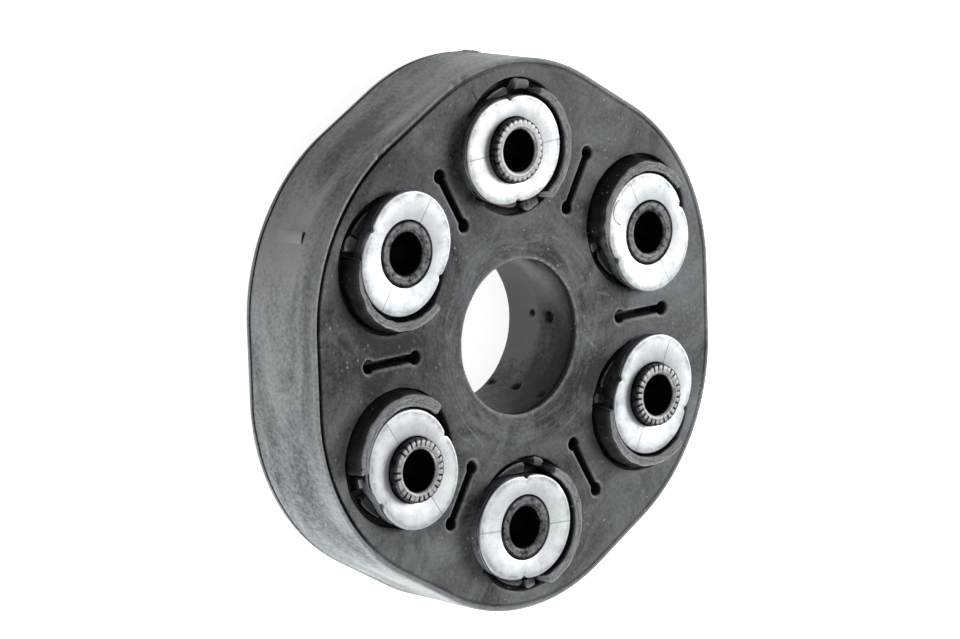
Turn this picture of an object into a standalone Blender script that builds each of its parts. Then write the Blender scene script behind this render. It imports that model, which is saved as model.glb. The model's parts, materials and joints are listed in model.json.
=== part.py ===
# Driveshaft flex disc: a rubber coupling with six steel bushes and buried cord loops.
# It lies flat, axis along Z and front face up, with the origin at its middle.
# Lengths are in metres and angles in degrees.

import math

import bmesh
import bpy
from mathutils import Matrix

# Bolt circle. The bushes stand in three close pairs, each moved a little from even spacing.
BUSH_COUNT = 6
PITCH_RADIUS = 0.048
FIRST_BUSH_ANGLE = 90.0
PAIR_SHIFT = 3.9

# Steel sleeve of a bush, with its knurled proud end
SLEEVE_BORE_RADIUS = 0.00525
SLEEVE_WALL = 0.0028
SLEEVE_PROUD = 0.0021
SLEEVE_BORE_CHAMFER = 0.0006
SLEEVE_EDGE_CHAMFER = 0.0003
SLEEVE_LAND_WIDTH = 0.0005
TOOTH_COUNT = 28
TOOTH_DEPTH = 0.0005

# Flange of a bush: an oblong plate of two lobes, with a hub that the cord is wound on
HUB_WALL = 0.00235
FLANGE_RIM_WIDTH = 0.0025
FLANGE_LOBE_SHIFT = 0.0025
FLANGE_PROUD = 0.00345
FLANGE_THICKNESS = 0.0016
FLANGE_NOTCH = 0.0006
FLANGE_EDGE_ROUNDING = 0.0004

# Pocket round each bush, in each face, and the rubber that stands in it
POCKET_DEPTH = 0.0022
POCKET_LIP = 0.0003
PAD_INSET = 0.0004
CRESCENT_GAP = 0.0004
CRESCENT_WIDTH = 0.0025
CRESCENT_GROOVE = 0.0011
CRESCENT_HALF_ANGLE = 63.0
CRESCENT_PROUD = 0.0040
LUMP_GROOVE = 0.0005
LUMP_HALF_ANGLE = 9.0
LUMP_ANGLE = 77.0
LUMP_PROUD = 0.0006
LEDGE_GROOVE = 0.0018
LEDGE_DROP = 0.0007

# Rubber body: a rounded hexagon with a wall of rubber round its pockets and its bore
BODY_THICKNESS = 0.0255
BODY_CORNER_RADIUS = 0.0518
BODY_EDGE_ROUNDING = 0.001
EDGE_WALL = 0.00496
BORE_WALL = 0.00334
BORE_EDGE_ROUNDING = 0.0006

# Dumbbell slot between two bushes, in each face
SLOT_INSET = 0.00525
SLOT_LENGTH = 0.0185
SLOT_END_RADIUS = 0.0017
SLOT_NECK_WIDTH = 0.0020
SLOT_DEPTH = 0.0060

# Cord loops: thin ones in the two outer layers, thick ones in the middle layer
LOOP_WIDTH = 0.0055
MIDDLE_LOOP_THICKNESS = 0.0072
LOOP_LAYER_WALL = 0.0016
LOOP_COVER = 0.00115

# Gap between pieces that touch, and how far a cutter runs past a face
FIT_GAP = 0.0003
OVERRUN = 0.002

# Points on a quarter turn or an arc of each form
BORE_STEPS = 36
POCKET_STEPS = 20
HUB_STEPS = 16
SLEEVE_HOLE_STEPS = 16
CORNER_STEPS = 6
LOBE_STEPS = 11
PAD_LOBE_STEPS = 7
LOOP_ARC_STEPS = 8
CRESCENT_STEPS = 6
LUMP_STEPS = 1
LEDGE_STEPS = 7
SLOT_END_STEPS = 5
WELD_DISTANCE = 0.000001
FLAT_ANGLE = 0.2

# Radii of a bush, from its bore outwards
SLEEVE_OUTER_RADIUS = SLEEVE_BORE_RADIUS + SLEEVE_WALL
SLEEVE_HOLE_RADIUS = SLEEVE_OUTER_RADIUS + FIT_GAP
HUB_RADIUS = SLEEVE_HOLE_RADIUS + HUB_WALL
CORE_RADIUS = HUB_RADIUS + FIT_GAP
LOOP_INNER_RADIUS = CORE_RADIUS
LOOP_OUTER_RADIUS = LOOP_INNER_RADIUS + LOOP_WIDTH
FLANGE_LOBE_RADIUS = HUB_RADIUS + FLANGE_RIM_WIDTH

# Radii in a pocket, which keeps to the even spacing that its bush is moved from
POCKET_CENTRE_RADIUS = PITCH_RADIUS * math.cos(math.radians(PAIR_SHIFT))
POCKET_SHIFT = PITCH_RADIUS * math.sin(math.radians(PAIR_SHIFT))
CRESCENT_INNER_RADIUS = FLANGE_LOBE_RADIUS + CRESCENT_GAP
CRESCENT_OUTER_RADIUS = CRESCENT_INNER_RADIUS + CRESCENT_WIDTH
POCKET_RADIUS = CRESCENT_OUTER_RADIUS + CRESCENT_GROOVE
LUMP_OUTER_RADIUS = POCKET_RADIUS - LUMP_GROOVE
LEDGE_RADIUS = POCKET_RADIUS - LEDGE_GROOVE

# Reach of the body, and its bore inside the loops of the wide pairs
CORNER_REACH = POCKET_CENTRE_RADIUS + POCKET_RADIUS + EDGE_WALL
WIDE_HALF_ANGLE = 180.0 / BUSH_COUNT + PAIR_SHIFT
WIDE_LINE_DISTANCE = PITCH_RADIUS * math.cos(math.radians(WIDE_HALF_ANGLE))
BORE_RADIUS = WIDE_LINE_DISTANCE - LOOP_OUTER_RADIUS - FIT_GAP - BORE_WALL
SLOT_CENTRE_RADIUS = PITCH_RADIUS - SLOT_INSET

# Heights above the middle of the disc
FACE = BODY_THICKNESS / 2
FLANGE_TOP = FACE + FLANGE_PROUD
FLANGE_UNDERSIDE = FLANGE_TOP - FLANGE_THICKNESS
PAD_TOP = FLANGE_UNDERSIDE - FIT_GAP
POCKET_FLOOR = FACE - POCKET_DEPTH
ROOT = POCKET_FLOOR - LOOP_COVER / 2
OUTER_LOOP_HIGH = POCKET_FLOOR - LOOP_COVER
OUTER_LOOP_LOW = MIDDLE_LOOP_THICKNESS / 2 + LOOP_LAYER_WALL


def clear_scene():
    for obj in list(bpy.data.objects):
        bpy.data.objects.remove(obj, do_unlink=True)


def collection(name):
    made = bpy.data.collections.new(name)
    bpy.context.scene.collection.children.link(made)
    return made


def material(name, colour, roughness, metallic):
    made = bpy.data.materials.new(name)
    made.use_nodes = True
    shader = made.node_tree.nodes["Principled BSDF"]
    shader.inputs["Base Color"].default_value = (*colour, 1.0)
    shader.inputs["Roughness"].default_value = roughness
    shader.inputs["Metallic"].default_value = metallic
    return made


def add_object(name, mesh, group, matrix=None):
    obj = bpy.data.objects.new(name, mesh)
    group.objects.link(obj)
    if matrix is not None:
        obj.matrix_world = matrix
    return obj


def add_part(name, mesh, finish, matrix=None):
    obj = add_object(name, mesh, parts, matrix)
    if not mesh.materials:
        mesh.materials.append(finish)
    return obj


def add_helper(name, mesh, group, matrix=None):
    obj = add_object(name, mesh, group, matrix)
    obj.hide_render = True
    obj.display_type = "WIRE"
    return obj


def baked(obj, whole_faces=True):
    # The object as the viewport shows it, as a plain welded mesh. The object itself goes.
    bpy.context.view_layer.update()
    graph = bpy.context.evaluated_depsgraph_get()
    mesh = bpy.data.meshes.new_from_object(obj.evaluated_get(graph))
    mesh.transform(obj.matrix_world)
    work = bmesh.new()
    work.from_mesh(mesh)
    bmesh.ops.remove_doubles(work, verts=work.verts, dist=WELD_DISTANCE)
    if whole_faces:
        flat = math.radians(FLAT_ANGLE)
        bmesh.ops.dissolve_limit(work, angle_limit=flat, verts=work.verts, edges=work.edges)
    work.to_mesh(mesh)
    work.free()
    bpy.data.objects.remove(obj, do_unlink=True)
    return mesh


def smooth(mesh, angle=35.0):
    mesh.shade_smooth()
    mesh.set_sharp_from_angle(angle=math.radians(angle))


def arc(radius, start, end, steps, centre=(0.0, 0.0)):
    # Points on a circle from one angle to another, both ends included.
    points = []
    for i in range(steps + 1):
        turn = math.radians(start + (end - start) * i / steps)
        points.append((centre[0] + radius * math.cos(turn), centre[1] + radius * math.sin(turn)))
    return points


def outline_mesh(name, outlines, low, high):
    # A flat outline, with holes where outlines lie inside each other, made solid from low to high.
    curve = bpy.data.curves.new(name, "CURVE")
    curve.dimensions = "2D"
    curve.fill_mode = "BOTH"
    curve.extrude = (high - low) / 2
    for outline in outlines:
        spline = curve.splines.new("POLY")
        spline.points.add(len(outline) - 1)
        spline.use_cyclic_u = True
        for point, (x, y) in zip(spline.points, outline):
            point.co = (x, y, 0.0, 1.0)
    middle = Matrix.Translation((0.0, 0.0, (high + low) / 2))
    return baked(add_object(name, curve, helpers, middle))


def turned_mesh(name, profile, steps, whole_faces=True):
    # A profile of (radius, height) points turned round Z, closed where it isn't on the axis.
    # Its outer side runs downwards.
    edges = [(i, (i + 1) % len(profile)) for i in range(len(profile))]
    edges = [(a, b) for a, b in edges if profile[a][0] + profile[b][0] > 0]
    mesh = bpy.data.meshes.new(name)
    mesh.from_pydata([(radius, 0.0, height) for radius, height in profile], edges, [])
    obj = add_object(name, mesh, helpers)
    screw = obj.modifiers.new("turn", "SCREW")
    screw.steps = steps
    screw.render_steps = steps
    screw.use_merge_vertices = True
    screw.merge_threshold = WELD_DISTANCE
    return baked(obj, whole_faces)


def boolean(obj, operation, other):
    modifier = obj.modifiers.new(operation.lower(), "BOOLEAN")
    modifier.operation = operation
    modifier.solver = "EXACT"
    if isinstance(other, bpy.types.Collection):
        modifier.operand_type = "COLLECTION"
        modifier.collection = other
    else:
        modifier.object = other


def bush_angle(index):
    # Clockwise from the top. Each pair is an odd bush and the even one after it.
    shift = PAIR_SHIFT if index % 2 == 0 else -PAIR_SHIFT
    return FIRST_BUSH_ANGLE - index * 360.0 / BUSH_COUNT + shift


def bush_centre(index):
    turn = math.radians(bush_angle(index))
    return PITCH_RADIUS * math.cos(turn), PITCH_RADIUS * math.sin(turn)


def away_angle(index):
    # Round the bolt circle, away from the bush's partner in its close pair.
    return bush_angle(index) + (-90.0 if index % 2 == 0 else 90.0)


def bush_matrix(index, rear=False):
    x, y = bush_centre(index)
    matrix = Matrix.Translation((x, y, 0.0)) @ Matrix.Rotation(math.radians(away_angle(index)), 4, "Z")
    if rear:
        matrix = matrix @ Matrix.Rotation(math.pi, 4, "X")
    return matrix


def body_outline():
    # Large rounded corners outside the pockets, joined by flats.
    half_turn = 180.0 / BUSH_COUNT
    points = []
    for corner in range(BUSH_COUNT):
        middle = FIRST_BUSH_ANGLE + 2 * corner * half_turn
        turn = math.radians(middle)
        distance = CORNER_REACH - BODY_CORNER_RADIUS
        centre = (distance * math.cos(turn), distance * math.sin(turn))
        points += arc(BODY_CORNER_RADIUS, middle - half_turn, middle + half_turn, CORNER_STEPS, centre)
    return points


def lobed_outline(lobe_radius, lobe_shift, notch, steps):
    # Two lobes set apart along X, with a notch where they meet on each long side.
    reach = math.degrees(math.acos((notch - lobe_shift) / lobe_radius))
    foot = math.sqrt(lobe_radius**2 - lobe_shift**2) - notch
    right = arc(lobe_radius, -reach, reach, steps, (lobe_shift, 0.0))
    left = arc(lobe_radius, 180.0 - reach, 180.0 + reach, steps, (-lobe_shift, 0.0))
    return right + [(0.0, foot)] + left + [(0.0, -foot)]


def band_outline(inner_radius, outer_radius, start, end, steps):
    # Part of a ring round the middle of the pocket.
    centre = (POCKET_SHIFT, 0.0)
    return arc(outer_radius, start, end, steps, centre) + arc(inner_radius, end, start, steps, centre)


def slot_outline():
    # Two round ends joined by a narrow neck, along X.
    neck_angle = math.degrees(math.asin(SLOT_NECK_WIDTH / 2 / SLOT_END_RADIUS))
    reach = SLOT_LENGTH / 2 - SLOT_END_RADIUS
    right = arc(SLOT_END_RADIUS, neck_angle - 180.0, 180.0 - neck_angle, SLOT_END_STEPS, (reach, 0.0))
    return right + [(-x, -y) for x, y in right]


def racetrack(radius, span):
    # Two half circles joined by straight runs, along X.
    right = arc(radius, -90.0, 90.0, LOOP_ARC_STEPS, (span / 2, 0.0))
    return right + [(-x, -y) for x, y in right]


def add_both_faces(name, mesh, group):
    # One copy at each bush on the front face, and one on the rear face.
    for index in range(BUSH_COUNT):
        add_helper(f"front_{name}_{index + 1}", mesh, group, bush_matrix(index))
        add_helper(f"rear_{name}_{index + 1}", mesh, group, bush_matrix(index, rear=True))


def add_pocket_cutters():
    lip_top = FACE + OVERRUN
    lip_radius = POCKET_RADIUS + POCKET_LIP + OVERRUN
    profile = [(0.0, lip_top), (lip_radius, lip_top), (POCKET_RADIUS, FACE - POCKET_LIP)]
    profile += [(POCKET_RADIUS, POCKET_FLOOR), (0.0, POCKET_FLOOR)]
    add_both_faces("pocket_cut", turned_mesh("pocket_cut", profile, POCKET_STEPS), face_cuts)


def add_bore_cutter():
    half = FACE + OVERRUN
    flare = BORE_RADIUS + BORE_EDGE_ROUNDING + OVERRUN
    waist = FACE - BORE_EDGE_ROUNDING
    profile = [(0.0, half), (flare, half), (BORE_RADIUS, waist)]
    profile += [(BORE_RADIUS, -waist), (flare, -half), (0.0, -half)]
    add_helper("bore_cut", turned_mesh("bore_cut", profile, BORE_STEPS), face_cuts)


def add_slot_cutters():
    mesh = outline_mesh("slot_cut", [slot_outline()], FACE - SLOT_DEPTH, FACE + OVERRUN)
    for index in range(BUSH_COUNT):
        turn = Matrix.Rotation(math.radians(index * 360.0 / BUSH_COUNT), 4, "Z")
        place = turn @ Matrix.Translation((SLOT_CENTRE_RADIUS, 0.0, 0.0))
        add_helper(f"front_slot_cut_{index + 1}", mesh, face_cuts, place)
        over = place @ Matrix.Rotation(math.pi, 4, "X")
        add_helper(f"rear_slot_cut_{index + 1}", mesh, face_cuts, over)


def add_raised_rubber():
    pad_radius = FLANGE_LOBE_RADIUS - PAD_INSET
    pad = lobed_outline(pad_radius, FLANGE_LOBE_SHIFT, FLANGE_NOTCH, PAD_LOBE_STEPS)
    add_both_faces("pad", outline_mesh("pad", [pad], ROOT, PAD_TOP), pads)
    ledge = arc(LEDGE_RADIUS, 90.0, 270.0, LEDGE_STEPS, (POCKET_SHIFT, 0.0))
    add_both_faces("ledge", outline_mesh("ledge", [ledge], ROOT, FACE - LEDGE_DROP), raised)
    crescent = band_outline(
        CRESCENT_INNER_RADIUS, CRESCENT_OUTER_RADIUS, -CRESCENT_HALF_ANGLE, CRESCENT_HALF_ANGLE, CRESCENT_STEPS
    )
    crescent_mesh = outline_mesh("crescent", [crescent], ROOT, FACE + CRESCENT_PROUD)
    add_both_faces("crescent", crescent_mesh, raised)
    for side, middle in (("left", LUMP_ANGLE), ("right", -LUMP_ANGLE)):
        lump = band_outline(
            CRESCENT_INNER_RADIUS,
            LUMP_OUTER_RADIUS,
            middle - LUMP_HALF_ANGLE,
            middle + LUMP_HALF_ANGLE,
            LUMP_STEPS,
        )
        add_both_faces(f"{side}_lump", outline_mesh("lump", [lump], ROOT, FACE + LUMP_PROUD), raised)


def loop_places():
    # Name, the two bushes that it joins, and its lowest and highest point.
    places = []
    for number in range(BUSH_COUNT // 2):
        close = (2 * number + 1, (2 * number + 2) % BUSH_COUNT)
        wide = (2 * number, 2 * number + 1)
        places.append((f"front_loop_{number + 1}", close, OUTER_LOOP_LOW, OUTER_LOOP_HIGH))
        half = MIDDLE_LOOP_THICKNESS / 2
        places.append((f"middle_loop_{number + 1}", wide, -half, half))
        places.append((f"rear_loop_{number + 1}", close, -OUTER_LOOP_HIGH, -OUTER_LOOP_LOW))
    return places


def loop_mesh(name, pair, low, high, clearance):
    (x0, y0), (x1, y1) = bush_centre(pair[0]), bush_centre(pair[1])
    span = math.hypot(x1 - x0, y1 - y0)
    outlines = [
        racetrack(LOOP_OUTER_RADIUS + clearance, span),
        racetrack(LOOP_INNER_RADIUS - clearance, span),
    ]
    mesh = outline_mesh(name, outlines, low - clearance, high + clearance)
    turn = Matrix.Rotation(math.atan2(y1 - y0, x1 - x0), 4, "Z")
    mesh.transform(Matrix.Translation(((x0 + x1) / 2, (y0 + y1) / 2, 0.0)) @ turn)
    return mesh


def add_cavity_cutters():
    half = PAD_TOP + OVERRUN
    profile = [(0.0, half), (CORE_RADIUS, half), (CORE_RADIUS, -half), (0.0, -half)]
    core = turned_mesh("core_cut", profile, HUB_STEPS)
    for index in range(BUSH_COUNT):
        add_helper(f"core_cut_{index + 1}", core, core_cuts, bush_matrix(index))
    for name, pair, low, high in loop_places():
        add_helper(f"{name}_channel", loop_mesh(name, pair, low, high, FIT_GAP), channel_cuts)


def add_rubber_body():
    mesh = outline_mesh("rubber_body", [body_outline()], -FACE, FACE)
    work = bmesh.new()
    work.from_mesh(mesh)
    rims = [edge for edge in work.edges if edge.calc_face_angle() > math.radians(60.0)]
    bmesh.ops.bevel(work, geom=rims, offset=BODY_EDGE_ROUNDING, segments=1, affect="EDGES")
    work.to_mesh(mesh)
    work.free()
    body = add_part("rubber_body", mesh, rubber)
    boolean(body, "DIFFERENCE", face_cuts)
    boolean(body, "UNION", pads)
    boolean(body, "UNION", raised)
    boolean(body, "DIFFERENCE", core_cuts)
    boolean(body, "DIFFERENCE", channel_cuts)
    final = baked(body)
    smooth(final)
    add_part("rubber_body", final, rubber)


def sleeve_mesh():
    # Turned tube, flush at its lower end. The teeth of the proud end are cut between its facets.
    top = FLANGE_TOP + SLEEVE_PROUD
    bottom = -FLANGE_TOP
    mouth = SLEEVE_BORE_RADIUS + SLEEVE_BORE_CHAMFER
    profile = [
        (mouth + SLEEVE_LAND_WIDTH, top),
        (SLEEVE_OUTER_RADIUS, top),
        (SLEEVE_OUTER_RADIUS, top - SLEEVE_PROUD),
        (SLEEVE_OUTER_RADIUS, bottom + SLEEVE_EDGE_CHAMFER),
        (SLEEVE_OUTER_RADIUS - SLEEVE_EDGE_CHAMFER, bottom),
        (mouth, bottom),
        (SLEEVE_BORE_RADIUS, bottom + SLEEVE_BORE_CHAMFER),
        (SLEEVE_BORE_RADIUS, top - SLEEVE_BORE_CHAMFER),
        (mouth, top),
    ]
    mesh = turned_mesh("sleeve", profile, TOOTH_COUNT, whole_faces=False)
    work = bmesh.new()
    work.from_mesh(mesh)
    near = WELD_DISTANCE * 10
    rim = [
        edge
        for edge in work.edges
        if all(abs(v.co.z - top) < near and v.co.xy.length > SLEEVE_OUTER_RADIUS - near for v in edge.verts)
    ]
    cut = bmesh.ops.subdivide_edges(work, edges=rim, cuts=1)
    valleys = [item for item in cut["geom_inner"] if isinstance(item, bmesh.types.BMVert)]
    for valley in valleys:
        valley.co.xy *= 1 - TOOTH_DEPTH / SLEEVE_OUTER_RADIUS
        valley.co.z -= TOOTH_DEPTH
    cut_faces = {face for valley in valleys for face in valley.link_faces}
    bmesh.ops.triangulate(work, faces=list(cut_faces))
    work.to_mesh(mesh)
    work.free()
    smooth(mesh)
    return mesh


def flange_mesh():
    outline = lobed_outline(FLANGE_LOBE_RADIUS, FLANGE_LOBE_SHIFT, FLANGE_NOTCH, LOBE_STEPS)
    plate = outline_mesh("plate", [outline], FLANGE_UNDERSIDE, FLANGE_TOP)
    work = bmesh.new()
    work.from_mesh(plate)
    rim = [
        edge
        for edge in work.edges
        if all(v.co.z > FLANGE_TOP - WELD_DISTANCE for v in edge.verts)
        and edge.calc_face_angle() > math.radians(60.0)
    ]
    bmesh.ops.bevel(work, geom=rim, offset=FLANGE_EDGE_ROUNDING, segments=1, affect="EDGES")
    work.to_mesh(plate)
    work.free()
    hub_top = FLANGE_UNDERSIDE + FLANGE_THICKNESS / 2
    hub_end = FIT_GAP / 2
    hub_profile = [(0.0, hub_top), (HUB_RADIUS, hub_top), (HUB_RADIUS, hub_end), (0.0, hub_end)]
    hub = add_helper("hub", turned_mesh("hub", hub_profile, HUB_STEPS), flange_helpers)
    hole_top = FLANGE_TOP + OVERRUN
    hole_end = hub_end - OVERRUN
    hole_profile = [(0.0, hole_top), (SLEEVE_HOLE_RADIUS, hole_top)]
    hole_profile += [(SLEEVE_HOLE_RADIUS, hole_end), (0.0, hole_end)]
    bore = add_helper("sleeve_hole", turned_mesh("sleeve_hole", hole_profile, SLEEVE_HOLE_STEPS), flange_helpers)
    flange = add_object("flange", plate, helpers)
    boolean(flange, "UNION", hub)
    boolean(flange, "DIFFERENCE", bore)
    mesh = baked(flange)
    smooth(mesh)
    return mesh


def add_bushes():
    sleeve = sleeve_mesh()
    flange = flange_mesh()
    for index in range(BUSH_COUNT):
        number = index + 1
        proud_at_rear = index % 2 == 1
        add_part(f"sleeve_{number}", sleeve, dark_steel, bush_matrix(index, rear=proud_at_rear))
        add_part(f"front_flange_{number}", flange, zinc, bush_matrix(index))
        add_part(f"rear_flange_{number}", flange, zinc, bush_matrix(index, rear=True))


def add_loops():
    for name, pair, low, high in loop_places():
        mesh = loop_mesh(name, pair, low, high, 0.0)
        smooth(mesh)
        add_part(name, mesh, cord)


clear_scene()
parts = collection("flex_disc")
helpers = collection("helpers")
face_cuts = collection("face_cuts")
pads = collection("pads")
raised = collection("raised_rubber")
core_cuts = collection("core_cuts")
channel_cuts = collection("channel_cuts")
flange_helpers = collection("flange_helpers")

rubber = material("black_rubber", (0.045, 0.047, 0.05), 0.62, 0.0)
dark_steel = material("dark_steel", (0.25, 0.25, 0.25), 0.4, 1.0)
zinc = material("zinc_plate", (0.8, 0.82, 0.84), 0.35, 1.0)
cord = material("polyester_cord", (0.12, 0.1, 0.08), 0.85, 0.0)

add_pocket_cutters()
add_bore_cutter()
add_slot_cutters()
add_raised_rubber()
add_cavity_cutters()
add_rubber_body()
add_bushes()
add_loops()
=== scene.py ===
import json
import math

import bmesh
import bpy
from mathutils import Matrix, Quaternion, Vector, noise
from mathutils.geometry import delaunay_2d_cdt

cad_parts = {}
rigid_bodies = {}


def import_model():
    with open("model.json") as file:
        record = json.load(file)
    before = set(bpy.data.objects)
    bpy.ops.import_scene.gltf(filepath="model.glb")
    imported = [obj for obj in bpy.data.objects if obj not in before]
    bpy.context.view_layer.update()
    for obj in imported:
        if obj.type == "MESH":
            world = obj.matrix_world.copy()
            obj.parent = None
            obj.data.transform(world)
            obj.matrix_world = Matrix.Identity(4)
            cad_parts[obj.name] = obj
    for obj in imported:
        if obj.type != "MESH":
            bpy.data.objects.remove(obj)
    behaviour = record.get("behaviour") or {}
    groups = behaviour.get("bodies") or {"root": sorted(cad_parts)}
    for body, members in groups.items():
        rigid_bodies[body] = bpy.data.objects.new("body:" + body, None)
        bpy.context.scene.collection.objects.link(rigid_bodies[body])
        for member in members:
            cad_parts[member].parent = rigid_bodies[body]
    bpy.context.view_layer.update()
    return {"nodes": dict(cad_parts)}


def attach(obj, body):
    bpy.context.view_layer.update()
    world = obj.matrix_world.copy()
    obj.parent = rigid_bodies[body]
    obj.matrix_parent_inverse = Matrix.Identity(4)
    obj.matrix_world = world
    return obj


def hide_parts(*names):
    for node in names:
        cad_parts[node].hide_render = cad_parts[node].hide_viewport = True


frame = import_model()
print("frame:", len(frame["nodes"]), "nodes")

disc = {
    "bushCount": 6,
    "pitchRadius": 48.0,
    "firstBushAngle": 90.0,
    "pairShift": 3.9,
    "face": 12.75,
    "millimetre": 0.001,
    "weld": 0.002,
}
disc["pocketShift"] = disc["pitchRadius"] * math.sin(math.radians(disc["pairShift"]))


# camera, fitted to the photograph

camera = {
    "focalPixels": 4090.119,
    "imageWidth": 960,
    "sensorWidth": 36.0,
    "turn": (0.160816, 0.7406269, 0.0971714),  # world to camera, as axis times angle
    "shift": (12.43908, -4.694937, -1022.16579),
    "datumHeight": 16.215,  # the fit's zero height above the disc's middle
}
cameraTurn = Vector(camera["turn"])
cameraRotation = Quaternion(cameraTurn.normalized(), cameraTurn.length).inverted()
cameraPlace = cameraRotation @ -Vector(camera["shift"]) + Vector((0.0, 0.0, camera["datumHeight"]))
cameraData = bpy.data.cameras.new("camera")
cameraData.sensor_width = camera["sensorWidth"]
cameraData.lens = camera["focalPixels"] * camera["sensorWidth"] / camera["imageWidth"]
cameraObject = bpy.data.objects.new("camera", cameraData)
cameraMatrix = cameraRotation.to_matrix().to_4x4()
cameraMatrix.translation = cameraPlace * disc["millimetre"]
cameraObject.matrix_world = cameraMatrix
bpy.context.scene.collection.objects.link(cameraObject)
bpy.context.scene.camera = cameraObject
print("camera placed")


# small helpers

def smoothStep(low, high, x):
    t = min(max((x - low) / (high - low), 0.0), 1.0)
    return t * t * (3.0 - 2.0 * t)


def mix(a, b, t):
    return a + (b - a) * t


def angleBetween(a, b):
    return abs((a - b + 180.0) % 360.0 - 180.0)


def polar(radius, turn, *rest):
    return (radius * math.cos(turn), radius * math.sin(turn), *rest)


def metres(*lengths):
    return tuple(length * disc["millimetre"] for length in lengths)


def bushAngle(index):
    shift = disc["pairShift"] if index % 2 == 0 else -disc["pairShift"]
    return disc["firstBushAngle"] - index * 360.0 / disc["bushCount"] + shift


def bushMatrix(index, rear=False):
    turn = math.radians(bushAngle(index))
    away = turn + math.radians(-90.0 if index % 2 == 0 else 90.0)
    matrix = Matrix.Translation(polar(disc["pitchRadius"], turn, 0.0)) @ Matrix.Rotation(away, 4, "Z")
    return matrix @ Matrix.Rotation(math.pi, 4, "X") if rear else matrix


class Shell:
    # Rings of points and the faces between them, gathered for one mesh.
    def __init__(self):
        self.points = []
        self.faces = []
        # per point: painted highlight above zero, painted shade below
        self.wear = []
        self.around = []

    def ring(self, points, matrix=None, wear=0.0, around=None):
        start = len(self.points)
        self.points += [matrix @ Vector(p) for p in points] if matrix else [Vector(p) for p in points]
        self.wear += wear if isinstance(wear, list) else [wear] * len(points)
        self.around += around or [(0.0, 0.0, 0.0)] * len(points)
        return list(range(start, len(self.points)))

    def skin(self, inner, outer, flip=False):
        # Faces outwards where the rings run anticlockwise and the second is the outer or lower one.
        count = len(inner)
        for i in range(count):
            j = (i + 1) % count
            face = (inner[i], outer[i], outer[j], inner[j])
            self.faces.append(face[::-1] if flip else face)

    def stack(self, rings, flip=False):
        for above, below in zip(rings, rings[1:]):
            self.skin(above, below, flip)

    def fan(self, coarse, fine):
        # Joins a ring to the next one, which has twice its points.
        count = len(coarse)
        for i in range(count):
            j = (i + 1) % count
            left, middle, right = fine[2 * i], fine[2 * i + 1], fine[2 * j]
            self.faces += [(coarse[i], left, middle), (coarse[i], middle, coarse[j]), (coarse[j], middle, right)]


def storeMesh(name, points, faces):
    mesh = bpy.data.meshes.new(name)
    mesh.from_pydata([metres(*point) for point in points], [], faces)
    mesh.update()
    return mesh


def evaluatedMesh(holder):
    bpy.context.view_layer.update()
    return bpy.data.meshes.new_from_object(holder.evaluated_get(bpy.context.evaluated_depsgraph_get()))


def pointLooks(mesh, *names):
    # One number per point for each name, read by the materials.
    for name in names:
        mesh.attributes.new(name, "FLOAT", "POINT")
    return [mesh.attributes[name].data for name in names]


def closedCheck(name, work):
    gaps = sum(1 for edge in work.edges if len(edge.link_faces) != 2)
    triangles = sum(len(face.verts) - 2 for face in work.faces)
    volume = round(work.calc_volume(signed=True) * 1e6, 2)
    print(f"{name}: {triangles} triangles, {gaps} open edges, volume {volume} cm3")


def smoothShade(mesh, sharpAngle):
    mesh.shade_smooth()
    mesh.set_sharp_from_angle(angle=math.radians(sharpAngle))


def place(name, mesh):
    made = bpy.data.objects.new(name, mesh)
    bpy.context.scene.collection.objects.link(made)
    return made


# materials

def toLinear(text):
    values = [int(text[i:i + 2], 16) / 255.0 for i in (1, 3, 5)]
    return tuple(c / 12.92 if c <= 0.04045 else ((c + 0.055) / 1.055) ** 2.4 for c in values) + (1.0,)


def addNode(tree, kind, inputs=None, **settings):
    # Each input is a plain value or another node's output.
    node = tree.nodes.new(kind)
    for key, value in settings.items():
        setattr(node, key, value)
    for key, value in (inputs or {}).items():
        if isinstance(value, bpy.types.NodeSocket):
            tree.links.new(value, node.inputs[key])
        else:
            node.inputs[key].default_value = value
    return node


def newMaterial(name):
    made = bpy.data.materials.new(name)
    made.use_nodes = True
    tree = made.node_tree
    return made, tree, tree.nodes["Principled BSDF"]


def ramp(tree, source, *stops):
    # Colours or greys along a value: stops of (place, hex colour or grey).
    node = addNode(tree, "ShaderNodeValToRGB", {"Fac": source})
    band = node.color_ramp
    while len(band.elements) < len(stops):
        band.elements.new(0.5)
    for element, (position, tone) in zip(band.elements, stops):
        element.position = position
        element.color = toLinear(tone) if isinstance(tone, str) else (tone, tone, tone, 1.0)
    return node.outputs["Color"]


def mixColour(tree, amount, a, b, mode="MIX"):
    a, b = (toLinear(tone) if isinstance(tone, str) else tone for tone in (a, b))
    return addNode(tree, "ShaderNodeMix", {0: amount, 6: a, 7: b}, data_type="RGBA", blend_type=mode).outputs[2]


def maths(tree, operation, a, b=0.0, clamp=False):
    return addNode(tree, "ShaderNodeMath", {0: a, 1: b}, operation=operation, use_clamp=clamp).outputs[0]


def plus(tree, a, b, clamp=False):
    return maths(tree, "ADD", a, b, clamp)


def times(tree, a, b, clamp=False):
    return maths(tree, "MULTIPLY", a, b, clamp)


def vectors(tree, operation, a, b=(0.0, 0.0, 0.0), output="Vector"):
    return addNode(tree, "ShaderNodeVectorMath", {0: a, 1: b}, operation=operation).outputs[output]


def remap(tree, value, low, high, toLow=0.0, toHigh=1.0, kind="LINEAR"):
    inputs = {"Value": value, "From Min": low, "From Max": high, "To Min": toLow, "To Max": toHigh}
    return addNode(tree, "ShaderNodeMapRange", inputs, interpolation_type=kind).outputs["Result"]


def splitUp(tree, vector, axis):
    return addNode(tree, "ShaderNodeSeparateXYZ", {0: vector}).outputs[axis]


def attribute(tree, name, output="Fac"):
    return addNode(tree, "ShaderNodeAttribute", attribute_name=name).outputs[output]


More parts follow.
